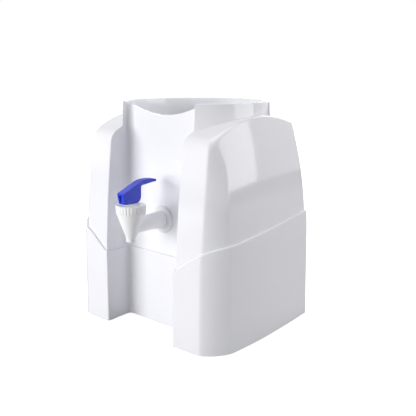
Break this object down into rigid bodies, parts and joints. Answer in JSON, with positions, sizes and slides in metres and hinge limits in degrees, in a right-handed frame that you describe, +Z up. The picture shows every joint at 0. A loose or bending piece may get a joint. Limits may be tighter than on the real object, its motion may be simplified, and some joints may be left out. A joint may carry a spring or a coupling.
{
  "type": "countertop water dispenser",
  "caption": "Gravity-fed countertop water dispenser: white two-part housing with a round bottle collar, lift-out bottle seat, inner reservoir and a blue lever tap over a cup recess.",
  "frame": {"origin": "on the counter, under the middle of the whole dispenser, tap included", "axes": "+Z up, front with the tap towards -Y, +X to the right when facing the front"},
  "size_m": [0.2818, 0.2631, 0.31],
  "materials": {
    "housing_white": "glossy injection-moulded ABS, white",
    "tank_white": "food-grade polypropylene, natural white, satin",
    "tap_white": "moulded white acetal, semi-gloss",
    "lever_blue": "moulded saturated blue ABS, glossy",
    "silicone": "translucent silicone rubber, satin",
    "foot_rubber": "dark rubber, matt",
    "steel": "zinc-plated steel",
    "spring_steel": "drawn stainless spring wire"
  },
  "bodies": {
    "housing": {"upper_cover": "housing_white", "skirt": "housing_white", "screw_right_front": "steel", "screw_right_rear": "steel", "screw_left_rear": "steel", "screw_left_front": "steel", "foot_right_front": "foot_rubber", "foot_right_rear": "foot_rubber", "foot_left_rear": "foot_rubber", "foot_left_front": "foot_rubber", "reservoir": "tank_white", "seat_seal": "silicone", "panel_gasket": "silicone", "tap_escutcheon": "tap_white", "tank_spacer": "silicone", "nut_gasket": "silicone", "tap_nut": "tap_white", "tap_body": "tap_white", "tap_bonnet": "tap_white", "stem_seal": "silicone", "tap_spring": "spring_steel"},
    "swivel": {"slip_ring": "tap_white"},
    "stem": {"tap_stem": "tap_white", "valve_plug": "silicone", "lever_pin": "steel"},
    "lever": {"tap_lever": "lever_blue"},
    "seat": {"bottle_seat": "tank_white", "bottle_probe": "tap_white", "probe_seal": "silicone"}
  },
  "joints": [
    {"name": "lever_swivel", "type": "hinge", "parent": "housing", "child": "swivel", "pos_m": [0, -0.11122, 0.18234], "axis": [0, 0.0349, 0.9994], "continuous": true},
    {"name": "stem_lift", "type": "slide", "parent": "swivel", "child": "stem", "axis": [0, 0.0349, 0.9994], "range_m": [0, 0.00295], "stiffness_N_per_m": 150, "springref_m": -0.005, "deforming": ["tap_spring"]},
    {"name": "lever_press", "type": "hinge", "parent": "stem", "child": "lever", "pos_m": [0, -0.11095, 0.19014], "axis": [-1, 0, 0], "range_deg": [0, 32]},
    {"name": "seat_lift", "type": "slide", "parent": "housing", "child": "seat", "axis": [0, 0, 1], "range_m": [0, 0.15]}
  ],
  "couplings": [
    {"joint": "lever_press", "follows": "stem_lift", "rad_per_m": 189.3}
  ]
}
